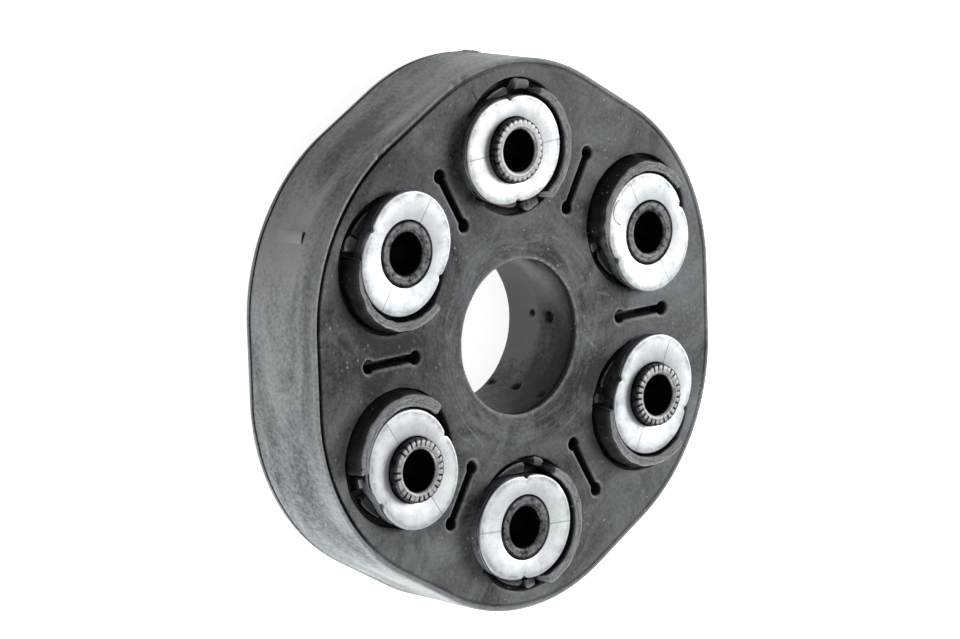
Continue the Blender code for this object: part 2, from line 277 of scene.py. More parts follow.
def objectPlace(tree):
    return addNode(tree, "ShaderNodeTexCoord").outputs["Object"]


def stretch(tree, vector, *scale):
    return addNode(tree, "ShaderNodeMapping", {"Vector": vector, "Scale": scale}).outputs["Vector"]


def noiseAt(tree, vector, scale, detail, roughness=0.5, distortion=0.0):
    inputs = {"Vector": vector, "Scale": scale, "Detail": detail, "Roughness": roughness, "Distortion": distortion}
    return addNode(tree, "ShaderNodeTexNoise", inputs).outputs["Fac"]


def bump(tree, height, strength, distance, under=None):
    inputs = {"Height": height, "Strength": strength, "Distance": distance}
    if under is not None:
        inputs["Normal"] = under
    return addNode(tree, "ShaderNodeBump", inputs).outputs["Normal"]


def dress(tree, shader, tone, normal, source, roughness, less, more):
    # Colour, bumps and a roughness that wanders with a noise, joined to the shader.
    tree.links.new(tone, shader.inputs["Base Color"])
    tree.links.new(normal, shader.inputs["Normal"])
    tree.links.new(remap(tree, source, 0.3, 0.7, roughness - less, roughness + more), shader.inputs["Roughness"])


rubberLook = {
    "face": "#141617",
    # the bloom's grey, which also carries the spots' painted light on the face
    "faceBloomAndLight": "#83898c",
    "side": "#565c5f",
    # the wall's streaks, which also carry the spots' painted light on the wall
    "sideStreaksAndLight": "#b4b9bc",
    "bore": "#1b1e1f",
    # painted light in the bore, paler towards its rear
    "borePaintedLight": "#d0d4d6",
    # painted shade in the pockets
    "pocket": "#141516",
    "collar": "#707478",
    # the cracks, and the painted shade in grooves, undercuts and pits
    "crackAndShade": "#0e0f10",
    # the pale of the collar tops, and the painted highlight on the rounded edges
    "wear": "#b4b9bb",
    "speck": "#b9bdbf",
    "roughness": 0.5,
    "shine": 0.18,
    "bloom": 0.08,  # lies everywhere
    "brushed": 0.36,  # how strongly the brush marks round the bore show
    "grain": 0.35,  # mould texture spacing, really about 0.1, drawn coarser so that it shows
}

# Spots of painted light and shade on the face, wall and bore: x, y, z and radius in millimetres, and how much lighter
# (above zero) or darker (below).
paintedLightSpots = [
    (-48.0, 2.0, 13.0, 26.0, -0.36), (-28.0, 0.0, 13.0, 12.0, -0.12), (57.0, 4.0, 13.0, 24.0, 0.62),
    (30.0, 58.0, 13.0, 26.0, 0.22), (-14.0, 30.0, 13.0, 22.0, -0.1), (-24.0, -14.0, 13.0, 12.0, 0.2),
    (-12.0, -28.0, 13.0, 14.0, 0.2), (24.0, -14.0, 13.0, 12.0, -0.6), (14.0, -24.0, 13.0, 9.0, 0.16),
    (-32.0, -56.0, 13.0, 24.0, 0.26), (44.0, -48.0, 13.0, 22.0, 0.16), (26.0, 4.0, 13.0, 14.0, -0.1),
    (14.0, 24.0, 13.0, 14.0, -0.1), (-30.0, 52.0, 13.0, 12.0, 0.2), (-58.0, -28.0, 13.0, 16.0, 0.34),
    (40.0, -8.0, 13.0, 12.0, 0.06), (60.0, 33.0, 13.0, 18.0, 0.7), (60.0, -33.0, 13.0, 18.0, 0.55),
    (0.0, 68.0, 13.0, 16.0, 0.2), (0.0, -68.0, 13.0, 16.0, 0.45), (-40.0, 48.0, 0.0, 22.0, -0.4),
    (-62.0, 30.0, 0.0, 20.0, 0.45), (-40.0, -54.0, 0.0, 30.0, 0.15), (-58.0, -38.0, 8.0, 14.0, 0.25),
    (17.0, 10.0, -6.0, 16.0, 0.9), (10.0, -17.0, 2.0, 18.0, -0.9), (10.0, 17.0, 10.0, 8.0, -0.6),
    (19.0, -4.0, -8.0, 12.0, 0.6), (19.7, 0.9, 3.0, 6.0, -0.5), (8.0, 18.0, -8.0, 10.0, 0.5),
    (-28.0, 63.0, 0.0, 16.0, 0.2),
]

# Straight marks on the front face: from x, y to x, y, half width and how much lighter or darker.
strokes = [
    (-20.6, -17.9, -12.8, -26.4, 0.4, 0.35), (-23.0, -20.6, -14.9, -26.5, 0.3, 0.25),
    (21.8, -2.8, 27.0, -7.5, 0.6, 0.3), (12.8, -26.5, 20.8, -21.1, 0.4, 0.35),
    (19.4, 9.1, 24.8, 10.9, 0.35, 0.25), (26.0, 8.0, 32.4, 5.7, 0.5, 0.25),
    (-13.8, 63.7, -11.7, 60.2, 0.3, -1.0), (-40.5, 43.0, -39.6, 41.5, 0.25, -1.0),
]


def brushMarks(tree, where):
    # Marks that run round the bore and fade outwards.
    flat = vectors(tree, "MULTIPLY", where, (1.0, 1.0, 0.0))
    radius = vectors(tree, "LENGTH", flat, output="Value")
    ringed = addNode(tree, "ShaderNodeCombineXYZ", {"Z": times(tree, radius, 230.0)}).outputs["Vector"]
    curl = vectors(tree, "ADD", vectors(tree, "NORMALIZE", flat), ringed)
    nearBore = remap(tree, radius, 0.034, 0.023, 0.0, rubberLook["brushed"], "SMOOTHSTEP")
    return times(tree, ramp(tree, noiseAt(tree, curl, 1.7, 6.0, 0.62, 1.8), (0.42, 0.0), (0.64, 1.0)), nearBore)


def addStrokes(tree, where, bloom):
    for ax, ay, bx, by, width, amount in strokes:
        size = metres(math.hypot(bx - ax, by - ay) / 2 + width, width, 2.0)
        inputs = {"Vector": where, "Location": metres((ax + bx) / 2, (ay + by) / 2, disc["face"]),
                  "Rotation": (0.0, 0.0, math.atan2(by - ay, bx - ax)), "Scale": size}
        local = addNode(tree, "ShaderNodeMapping", inputs, vector_type="TEXTURE").outputs["Vector"]
        off = vectors(tree, "LENGTH", local, output="Value")
        bloom = plus(tree, remap(tree, off, 1.0, 0.4, 0.0, amount), bloom)
    return bloom


# The sum of the spots of painted light and shade.
def paintedLightAndShade(tree, where):
    total = 0.0
    for *spot, radius, amount in paintedLightSpots:
        away = vectors(tree, "DISTANCE", where, metres(*spot), "Value")
        total = plus(tree, remap(tree, away, radius * disc["millimetre"], 0.0, 0.0, amount, "SMOOTHSTEP"), total)
    return total


def mouldedRubber():
    # Natural rubber, compression moulded with carbon black: near black, with a grey bloom that
    # lies in swirls where the mould release flowed, pale dust specks and a soft satin shine.
    # Over this lie spots of painted light and shade, painted light in the bore, painted shade in the pockets, and
    # painted highlights and shade along the edges.
    made, tree, shader = newMaterial("mouldedRubber")
    look = rubberLook
    where = objectPlace(tree)
    flow = noiseAt(tree, where, 42.0, 7.0, 0.62, 2.2)
    mottle = maths(tree, "SUBTRACT", noiseAt(tree, where, 950.0, 3.0, 0.7), 0.5)
    # painted light and shade: the spots, lighter where light falls and darker where shade lies
    patches = paintedLightAndShade(tree, where)
    bloom = times(tree, ramp(tree, flow, (0.38, 0.0), (0.62, 1.0)), 0.46)
    bloom = plus(tree, bloom, times(tree, mottle, 0.8))
    bloom = plus(tree, bloom, addStrokes(tree, where, brushMarks(tree, where)))
    # the bloom now carries the spots' painted light and shade as well
    bloom = plus(tree, plus(tree, bloom, patches), look["bloom"], clamp=True)
    tone = mixColour(tree, bloom, look["face"], look["faceBloomAndLight"])
    # the wall: streaks along it, and the spots' painted light and shade, which reach less far down on the far side
    streaks = noiseAt(tree, stretch(tree, where, 16.0, 16.0, 60.0), 1.0, 6.0, 0.62, 0.8)
    streaks = plus(tree, ramp(tree, streaks, (0.36, 0.0), (0.66, 1.0)), times(tree, mottle, 1.5))
    reached = remap(tree, splitUp(tree, where, "X"), 0.02, 0.04, 1.0, 0.1)
    streaks = plus(tree, streaks, times(tree, patches, reached), clamp=True)
    wallTone = mixColour(tree, streaks, look["side"], look["sideStreaksAndLight"])
    tone = mixColour(tree, attribute(tree, "sideWall"), tone, wallTone)
    # the bore: painted light, paler towards its rear end
    low = remap(tree, splitUp(tree, where, "Z"), 0.011, -0.006)
    pale = times(tree, low, plus(tree, streaks, 0.42), clamp=True)
    tone = mixColour(tree, attribute(tree, "boreWall"), tone, mixColour(tree, pale, look["bore"], look["borePaintedLight"]))
    # painted shade in the pockets, below the face
    tone = mixColour(tree, times(tree, attribute(tree, "pocketPaintedShade"), 0.85), tone, look["pocket"])
    # the crescents' tops: torn layers, broken into blocks
    around = attribute(tree, "roundPocket", "Vector")
    layers = noiseAt(tree, stretch(tree, around, 26.0, 3.5, 3.0), 1.0, 6.0, 0.72, 0.6)
    cells = addNode(tree, "ShaderNodeTexVoronoi", {"Scale": 1.0, "Vector": stretch(tree, around, 5.5, 5.0, 3.0)},
                    feature="DISTANCE_TO_EDGE").outputs["Distance"]
    crackDepth = times(tree, ramp(tree, cells, (0.01, 0.76), (0.05, 1.0)), layers)
    collarTop = attribute(tree, "collarTop")
    cracked = ramp(tree, crackDepth, (0.26, look["crackAndShade"]), (0.38, look["collar"]), (0.68, look["wear"]))
    tone = mixColour(tree, collarTop, tone, cracked)
    # edges: a mottled painted highlight where the value is above zero, painted shade where it is below
    edgeLightAndShade = attribute(tree, "edgeLightAndShade")
    highlightMottle = ramp(tree, noiseAt(tree, where, 900.0, 5.0, 0.7), (0.32, 0.22), (0.62, 0.8))
    tone = mixColour(tree, times(tree, edgeLightAndShade, highlightMottle, clamp=True), tone, look["wear"])
    tone = mixColour(tree, times(tree, edgeLightAndShade, -1.0, clamp=True), tone, look["crackAndShade"])
    dust = addNode(tree, "ShaderNodeTexVoronoi", {"Scale": 560.0, "Vector": where}).outputs["Distance"]
    dusty = ramp(tree, noiseAt(tree, where, 150.0, 3.0), (0.5, 0.0), (0.68, 0.9))
    tone = mixColour(tree, times(tree, ramp(tree, dust, (0.08, 1.0), (0.2, 0.0)), dusty), tone, look["speck"])
    normal = bump(tree, flow, 0.35, 0.0004)
    normal = bump(tree, noiseAt(tree, where, 1000.0 / look["grain"] / 2.0, 3.0, 0.6), 0.6, 0.00012, normal)
    normal = bump(tree, times(tree, crackDepth, collarTop), 0.9, 0.0005, normal)
    dress(tree, shader, tone, normal, flow, look["roughness"], 0.08, 0.14)
    shader.inputs["Specular IOR Level"].default_value = look["shine"]
    return made


zincLook = {
    "bright": "#afb3b5",
    "blotch": "#979b9e",
    # painted shade along the die roll inside the edge
    "dieRollShadeTone": "#63686b",
    # painted dark reflection on the torn rim, also the scratch's colour
    "rim": "#1d2022",
    "rimReflectionStreak": "#b4b9bc",
    "scribe": "#555a5d",
    "scratchCentre": (33.7, 27.6, 16.2),
    "scratchRadius": 3.3,
    "roughness": 0.5,
}


def curvedScratch(tree, where):
    # The west side of a thin circle, on the second plate.
    centre, apart = Vector(metres(*zincLook["scratchCentre"])), zincLook["scratchRadius"] * disc["millimetre"]
    off = vectors(tree, "DISTANCE", where, centre, "Value")
    ring = maths(tree, "LESS_THAN", maths(tree, "ABSOLUTE", maths(tree, "SUBTRACT", off, apart)), 0.00013)
    west = vectors(tree, "DISTANCE", where, centre - Vector((apart, 0.0, 0.0)), "Value")
    return times(tree, ring, maths(tree, "LESS_THAN", west, 1.2 * apart))


def zincPlate():
    # Steel plate, blanked and barrel plated in bright zinc: silvery white with faint grey blotches,
    # a scribed line across it, and a torn edge where the punch broke through, painted dark with light streaks as a
    # painted reflection.
    made, tree, shader = newMaterial("zincPlate")
    look = zincLook
    where = objectPlace(tree)
    local = addNode(tree, "ShaderNodeUVMap", uv_map="platePlane").outputs["UV"]
    blotch = noiseAt(tree, where, 260.0, 8.0, 0.75)
    tone = mixColour(tree, ramp(tree, blotch, (0.4, 0.0), (0.7, 1.0)), look["bright"], look["blotch"])
    # the scribed line, 0.36 mm wide, in units of 100 mm
    line = maths(tree, "ABSOLUTE", plus(tree, splitUp(tree, local, "Y"), 0.0004))
    line = maths(tree, "LESS_THAN", line, 0.0018)
    tone = mixColour(tree, times(tree, line, 0.5), tone, look["scribe"])
    # painted shade along the die roll, broken by the blotches
    dieRollShadeAmount = times(tree, attribute(tree, "dieRollShadeBand"), ramp(tree, blotch, (0.4, 0.15), (0.6, 0.7)))
    tone = mixColour(tree, dieRollShadeAmount, tone, look["dieRollShadeTone"])
    # the rim: painted dark reflection with light streaks
    rim = attribute(tree, "plateRim")
    stripes = noiseAt(tree, stretch(tree, where, 170.0, 170.0, 2600.0), 1.0, 3.0, 0.7)
    tone = mixColour(tree, rim, tone, ramp(tree, stripes, (0.45, look["rim"]), (0.66, look["rimReflectionStreak"])))
    tone = mixColour(tree, times(tree, curvedScratch(tree, where), 0.85), tone, look["rim"])
    # the torn rim keeps little zinc, so it scatters more than it mirrors
    tree.links.new(maths(tree, "SUBTRACT", 1.0, times(tree, rim, 0.8)), shader.inputs["Metallic"])
    height = maths(tree, "SUBTRACT", times(tree, noiseAt(tree, where, 1600.0, 2.0), 0.15), line)
    dress(tree, shader, tone, bump(tree, height, 0.3, 0.0001), blotch, look["roughness"], 0.06, 0.1)
    return made


sleeveLook = {
    "end": "#9b9c9d",
    "endDark": "#7b7b7b",
    "flush": "#67696a",
    "flushDark": "#1d1e1e",
    "wall": "#090a0a",
    "wallLight": "#35373a",
    # painted shade in the bore and in the teeth's valleys
    "bore": "#0c0c0c",
    "roughness": 0.48,
}


def knurledSteel():
    # Cold-drawn steel tube, knurled on its end: bright tooth crests, dark valleys of painted shade,
    # and a bore painted near black as painted shade.
    made, tree, shader = newMaterial("knurledSteel")
    look = sleeveLook
    turning = noiseAt(tree, objectPlace(tree), 700.0, 4.0, 0.65)
    flush = ramp(tree, turning, (0.36, look["flushDark"]), (0.6, look["flush"]))
    proud = ramp(tree, turning, (0.36, look["endDark"]), (0.6, look["end"]))
    worn = mixColour(tree, attribute(tree, "proudEnd"), flush, proud)
    # rings left by the turning tool, by radius
    turned = ramp(tree, attribute(tree, "sleeveRadius"), (0.56, 1.0), (0.585, 0.6), (0.61, 0.95), (0.66, 0.6),
                  (0.69, 0.9), (0.745, 0.8), (0.77, 0.2))
    worn = mixColour(tree, 1.0, worn, turned, "MULTIPLY")
    # painted shade in some of the teeth's valleys
    worn = mixColour(tree, attribute(tree, "toothValleyShade"), worn, look["bore"])
    wall = ramp(tree, turning, (0.42, look["wall"]), (0.62, look["wallLight"]))
    tone = mixColour(tree, attribute(tree, "endFace"), wall, worn)
    # painted shade in the bore
    tone = mixColour(tree, attribute(tree, "sleeveBoreShade"), tone, look["bore"])
    shader.inputs["Metallic"].default_value = 1.0
    dress(tree, shader, tone, bump(tree, turning, 0.35, 0.00012), turning, look["roughness"], 0.08, 0.12)
    return made


cordLook = {"thread": "#4a3a2b", "dip": "#1d1814", "spacing": 0.8, "roughness": 0.85}


def dippedCord():
    # Twisted polyester cord, dipped so that the rubber grips it: dull brown threads under a dark skin.
    made, tree, shader = newMaterial("dippedCord")
    look = cordLook
    inputs = {"Vector": objectPlace(tree), "Scale": 1000.0 / look["spacing"] / 20.0, "Distortion": 1.5, "Detail": 2.0}
    threads = addNode(tree, "ShaderNodeTexWave", inputs, bands_direction="Z").outputs["Fac"]
    tree.links.new(ramp(tree, threads, (0.2, look["dip"]), (0.8, look["thread"])), shader.inputs["Base Color"])
    tree.links.new(bump(tree, threads, 0.6, 0.0003), shader.inputs["Normal"])
    shader.inputs["Roughness"].default_value = look["roughness"]
    return made


rubberMaterial = mouldedRubber()
zincMaterial = zincPlate()
steelMaterial = knurledSteel()
cordMaterial = dippedCord()
print("materials made")


# rubber body

body = {
    "cornerRadius": 51.8,
    "cornerReach": 70.055,  # of the corners' arcs, from the disc's middle
    "cornerSteps": 72,
    "boreRadius": 19.70,
    "boreSteps": 240,
    "coreRadius": 11.0,
    "padTop": 14.3,
    "padRadius": 12.8,
    "plateRadius": 13.2,
    "plateGap": 0.45,
    "lobeShift": 2.5,
    "pocketRadius": 17.3,
    "pocketFloor": 10.55,
    "patchRadius": 19.2,
    "frontSteps": 240,
    "rearSteps": 120,
    "slotCentre": 42.75,
    "slotLength": 18.5,
    "slotEnd": 1.7,
    "slotNeck": 1.0,
    "slotDepth": 6.0,
    "fitGap": 0.3,
    "loopWidth": 5.5,
    "loopHeights": ((5.2, 9.4), (-3.6, 3.6), (-9.4, -5.2)),  # front, middle and rear
    "leastStep": 0.025,  # between two rows of points, so that none cross
    "edgeGroove": 0.8,
    "sharpAngle": 50.0,
}
body["cornerDistance"] = body["cornerReach"] - body["cornerRadius"]

# Raised rubber round each plate, in degrees round the pocket's middle: where it starts and ends, its inner
# and outer radius at its start and at its end, its top above the disc's middle, and how rough that is.
def ledges(reach):
    return [(start, start + 89.0, (11.0, 11.0), (reach, reach), 12.05, 0.04) for start in (89.0, 182.0)]


plainBands = [(-62.0, 62.0, (13.6, 13.6), (15.9, 15.9), 16.8, 0.12),
              (65.0, 84.0, (14.2, 14.2), (16.8, 16.8), 13.4, 0.06),
              (-84.0, -65.0, (14.2, 14.2), (16.8, 16.8), 13.4, 0.06)] + ledges(15.4)
frontBands = {
    0: [(-64.0, 65.5, (13.7, 13.5), (16.3, 15.7), 16.8, 0.13), (66.5, 90.0, (14.3, 14.3), (16.9, 16.9), 13.7, 0.2),
        (-85.5, -66.0, (13.7, 13.7), (17.0, 17.0), 13.6, 0.24)] + ledges(15.3),
    1: [(-87.0, 74.0, (13.0, 12.6), (15.9, 14.8), 16.9, 0.3),
        (76.0, 87.5, (14.8, 14.8), (16.8, 16.8), 12.6, 0.04)] + ledges(15.5),
    2: [(-71.0, 73.0, (12.6, 13.4), (14.6, 16.2), 16.9, 0.13),
        (-84.5, -73.0, (12.6, 12.6), (16.6, 16.6), 12.5, 0.05)] + ledges(15.4),
    3: [(-72.0, 69.0, (13.6, 13.6), (16.4, 15.9), 16.8, 0.13), (71.0, 86.0, (14.8, 14.8), (17.2, 17.2), 13.6, 0.2),
        (-89.0, -76.0, (14.0, 14.0), (16.9, 16.9), 13.1, 0.15)] + ledges(15.9),
    4: [(-79.0, 63.0, (13.3, 12.8), (16.6, 15.6), 16.9, 0.16),
        (65.5, 79.0, (12.8, 12.8), (14.6, 14.6), 14.1, 0.14)] + ledges(15.4),
    5: [(-72.0, 81.0, (12.2, 14.4), (13.6, 17.1), 16.8, 0.2),
        (-92.0, -75.0, (12.2, 12.2), (16.4, 16.4), 12.7, 0.06)] + ledges(15.4),
}


def rayToCircle(centre, radius, turn):
    # From the pocket's middle to a circle whose centre lies on the patch's u axis.
    gap = disc["pocketShift"] - centre
    return -gap * math.cos(turn) + math.sqrt(radius**2 - (gap * math.sin(turn)) ** 2)


def lobeReach(radius, turn):
    # To the farther of two such circles, one for each lobe of the plate.
    return max(rayToCircle(shift, radius, turn) for shift in (body["lobeShift"], -body["lobeShift"]))


def bandAt(angle, bands, middle):
    # Inner and outer radius, height and roughness of the raised rubber at an angle.
    for start, end, inners, outers, top, rough in bands:
        half = (end - start) / 2
        part = ((angle - start + 720.0) % 360.0) / (end - start)
        inner, outer = mix(*inners, min(part, 1.0)), mix(*outers, min(part, 1.0))
        along = (half - angleBetween(angle, (start + end) / 2)) * math.radians((inner + outer) / 2)
        if along > 0:
            width = (outer - inner) / 2
            centre = (outer + inner) / 2
            capRadius = min(width, 1.6)
            cap = math.sqrt(1.0 - (1.0 - min(along / capRadius, 1.0)) ** 2)
            return centre - width * cap, centre + width * cap, top, rough * cap, smoothStep(0.0, 0.5, along)
    return middle, middle, body["pocketFloor"], 0.0, 0.0


def patchProfile(angle, bands, seed):
    # Points (radius, height) from the core out to the flat face, at one angle round a pocket.
    turn = math.radians(angle)
    face = disc["face"]
    core = rayToCircle(0.0, body["coreRadius"], turn)
    pad = lobeReach(body["padRadius"], turn)
    spot = Vector(polar(3.0, turn, seed * 7.3))
    pocket = body["pocketRadius"] + 0.18 * noise.noise(spot)
    padTop = body["padTop"]
    floor = mix(face, body["pocketFloor"], smoothStep(0.0, 0.8, pocket - pad))
    inner, outer, top, rough, present = bandAt(angle, bands, 15.2)
    covered = smoothStep(0.0, 0.8, outer - pad)
    top = mix(floor, top, present * covered)
    tall = smoothStep(14.3, 14.8, top)
    if tall > 0.0:
        inner = max(inner, lobeReach(body["plateRadius"], turn) + body["plateGap"])
    inner = max(inner, pad + 0.12) + (0.06 * tall + 0.9 * rough) * noise.noise(spot * 2.1)
    outer = max(outer, inner + 0.05) + (0.15 * tall + 1.4 * rough) * noise.noise(spot * 1.7 + Vector((9.0, 0.0, 0.0)))
    draft = 0.06 + 0.8 * tall
    points = [(core, padTop), (mix(core, pad - 0.4, 0.6), padTop), (pad - 0.4, padTop), (pad - 0.12, padTop - 0.1),
              (pad, padTop - 0.4), (pad + 0.02, mix(padTop, floor, 0.5)), (pad + 0.08, floor + 0.15),
              (pad + 0.25, floor)]
    # a lump is rounder on top than a crescent
    dome = 0.5 * (1.0 - tall) * smoothStep(0.08, 0.14, rough)
    points += [(inner - 0.15, floor), (inner, mix(floor, top, 0.12)), (inner + 0.03, mix(floor, top, 0.86) - dome),
               (inner + 0.13, mix(floor, top, 0.96) - dome), (inner + 0.35, top - 0.6 * dome)]
    for part in (0.3, 0.5, 0.7):
        radius = mix(inner + 0.35, outer - 0.35, part)
        here = Vector(polar(radius, turn, seed * 11.0))
        layer = 0.5 * noise.noise(Vector((here.x * 0.25, here.y * 0.25, radius * 1.7)))
        points.append((radius, top + rough * (noise.noise(here * 1.1) + noise.noise(here * 2.6) * 0.6 + layer)))
    fold = 0.35 * tall * noise.noise(spot * 3.0 + Vector((0.0, 5.0, 0.0)))
    points += [(outer - 0.3, top - 0.6 * dome), (outer - 0.1, mix(floor, top, 0.975) - dome),
               (outer, mix(floor, top, 0.93) - dome), (outer + draft * (0.35 + fold), mix(floor, top, 0.62)),
               (outer + draft * (0.75 - fold), mix(floor, top, 0.3)), (outer + draft, mix(floor, top, 0.08)),
               (outer + draft + 0.15, floor)]
    points += [(pocket - 0.25, floor), (pocket - 0.05, mix(floor, face, 0.12)), (pocket, mix(floor, face, 0.85)),
               (pocket + 0.1, mix(floor, face, 0.96)), (pocket + 0.35, face), (body["patchRadius"] - 0.5, face),
               (body["patchRadius"], face)]
    spaced = []
    reach = 0.0
    for radius, height in points:
        reach = max(radius, reach + body["leastStep"])
        spaced.append((reach, height))
    return spaced


# Painted highlight (above zero) or painted shade (below) on each row of points: highlights on the top edges and the
# pocket's rim, shade at the pad's foot, on the raised rubber's walls and on the pocket floor.
patchLightAndShade = {6: -0.5, 8: -0.6, 9: -0.9, 10: -0.95, 11: -0.5, 12: 0.4, 16: 0.4, 17: 0.8, 18: -0.8, 19: -0.95,
             20: -0.95, 21: -0.95, 22: -0.8, 23: -0.6, 24: -0.2, 25: 0.2, 26: 0.4, 27: 0.1}


def addPatch(shell, index, rear):
    # The relief round one bush, from its core to a circle on the flat face.
    steps = body["rearSteps"] if rear else body["frontSteps"]
    bands = plainBands if rear else frontBands[index]
    matrix = bushMatrix(index, rear)
    seed = index + (disc["bushCount"] if rear else 0)
    centre = disc["pocketShift"]
    columns = []
    for i in range(steps):
        angle = i * 360.0 / steps
        turn = math.radians(angle)
        profile = patchProfile(angle, bands, seed)
        columns.append([(centre + r * math.cos(turn), r * math.sin(turn), z) for r, z in profile])
    rings = []
    for row in range(len(columns[0])):
        step = steps // body["rearSteps"] if row == 0 else 1
        # painted highlight or shade for this row
        wear = patchLightAndShade.get(row, 0.0)
        around = []
        for x, y, z in (column[row] for column in columns[::step]):
            around.append((math.hypot(x - centre, y) / 10.0, math.atan2(y, x - centre), seed + 1.0))
        rings.append(shell.ring([column[row] for column in columns[::step]], matrix, wear, around))
    for row in range(1, len(rings)):
        if len(rings[row]) != len(rings[row - 1]):
            shell.fan(rings[row - 1], rings[row])
        else:
            shell.skin(rings[row - 1], rings[row])
    return rings[-1]


def onCorner(corner, angle, proud, *rest):
    # A point on one corner's arc, from the corner's place and the arc's angle in degrees.
    (middleX, middleY), (x, y) = (polar(radius, math.radians(turn)) for radius, turn in (
        (body["cornerDistance"], corner), (body["cornerRadius"] + proud, angle)))
    return (middleX + x, middleY + y, *rest)


def bodyOutline(inset):
    # Rounded corners outside the pockets, joined by flats, moved inwards.
    half = 180.0 / disc["bushCount"]
    points = []
    for corner in range(disc["bushCount"]):
        middle = disc["firstBushAngle"] + 2 * corner * half
        for i in range(body["cornerSteps"]):
            points.append(onCorner(middle, middle - half + 2 * half * (i + 0.5) / body["cornerSteps"], -inset))
    return points


# Painted shade (below zero) in the edge's groove and the rear groove, and painted highlight (above zero) on the rounded
# edges, by row.
sideLightAndShade = {2: -0.4, 3: -1.0, 4: -1.0, 5: 0.7, 6: 1.0, 7: 1.0, 8: 1.0, 9: 0.8, 10: 0.35,
            20: -0.5, 21: -1.0, 22: -1.0, 24: 1.0, 25: 0.7, 26: -0.8}
# Nicks in the front edge: degrees round the disc, half width in degrees, depth.
sideNicks = [(104.0, 1.5, 0.7), (106.5, 0.8, 0.5), (131.0, 1.2, 0.6), (128.6, 0.6, 0.4)]


def addSide(shell):
    # From the flat of the front face over its grooved edge, down the wall and round to the rear face.
    # Each row: how far inside the outline, height, and kind (1 groove, 2 wall, 3 rear groove).
    face = disc["face"]
    rows = [(2.5, face, 0), (2.3, face, 0), (2.1, face - 0.05, 0), (1.9, face - 0.1, 1), (1.3, face - 0.1, 1),
            (1.1, face - 0.04, 0), (0.8, face, 0), (0.45, face - 0.03, 0), (0.14, face - 0.22, 0),
            (0.0, face - 0.6, 0), (0.0, face - 2.2, 2)]
    rows += [(0.0, z, 2) for z in (8.0, 5.5, 3.0, 0.5, -2.0, -4.5, -7.0, -9.2)]
    rows += [(0.0, -10.4, 0), (0.03, -10.85, 3), (0.45, -11.0, 3), (0.45, -11.4, 3), (0.03, -11.55, 3),
             (0.0, -11.95, 0), (0.08, -12.35, 0), (0.35, -face + 0.08, 0), (0.7, -face, 0), (1.9, -face, 0)]
    rings = []
    for inset, height, kind in rows:
        ring = []
        pointShading = []
        for x, y in bodyOutline(inset):
            z = height
            around = math.degrees(math.atan2(y, x)) % 360.0
            wear = sideLightAndShade.get(len(rings), 0.0)
            # the groove inside the edge stands wide open on the left and almost shut elsewhere
            left, upper = smoothStep(80.0, 45.0, angleBetween(around, 175.0)), smoothStep(226.0, 208.0, around)
            gaping = 0.22 + 0.78 * left * upper
            # the painted shade and highlight follow how open the groove is
            pointShading.append(wear * gaping if wear < 0.0 else wear * (0.5 + 0.5 * gaping))
            if kind == 1:
                z -= body["edgeGroove"] * gaping * (0.85 + 0.3 * noise.noise(Vector((x * 0.3, y * 0.3, 1.0))))
            if height > face - 0.3:
                for middle, half, deep in sideNicks:
                    z -= deep * smoothStep(half, 0.0, angleBetween(around, middle)) * smoothStep(1.5, 0.9, inset)
            if kind == 3:
                z += 0.3 * noise.noise(Vector((x * 0.12, y * 0.12, 3.0)))
            if height < -11.5:
                # a tongue of flash at the parting line
                flash = 0.009 * smoothStep(4.0, 1.5, angleBetween(around, 83.0))
                flash *= 0.6 + noise.noise(Vector((x, y, 0.0)))
                x, y = x * (1 + flash), y * (1 + flash)
            if kind == 2:
                swell = 0.07 * noise.noise(Vector((x * 0.08, y * 0.08, z * 0.12)))
                x, y = x * (1 + swell / 70.0), y * (1 + swell / 70.0)
            ring.append((x, y, z))
        rings.append(shell.ring(ring, None, pointShading))
    shell.stack(rings)
    return rings[0], rings[-1]


def addSideTab(shell):
    # A low moulded tab on the wall, square at its front end and fading into the wall at its rear.
    rings = []
    for z, height in ((-5.6, 0.02), (-3.0, 0.25), (0.0, 0.45), (3.6, 0.7), (3.75, 0.7), (4.0, 0.55)):
        section = ((151.7, -0.3), (151.7, height * 0.9), (152.0, height), (153.4, height * 0.75),
                   (155.0, 0.02), (155.0, -0.3))
        outline = [onCorner(150.0, angle, proud, z) for angle, proud in section]
        # painted highlight on its front corner and painted shade on its square end
        rings.append(shell.ring(outline, None, {3.6: 0.5, 3.75: -0.6, 4.0: -1.0}.get(z, 0.15)))
    for low, high in zip(rings, rings[1:]):
        shell.skin(high, low, flip=True)
    shell.faces += [tuple(rings[0]), tuple(rings[-1][::-1])]


# Torn hollows in the wall of the bore: degrees round it, height, radius, depth.
pits = [
    (3.9, -3.7, 1.1, 0.9), (2.6, 2.4, 1.7, 1.1), (-55.0, -1.2, 1.5, 1.0), (-55.0, -10.6, 1.2, 0.8),
    (-58.0, 9.2, 1.1, 0.8), (61.0, 8.4, 1.3, 1.0),
]


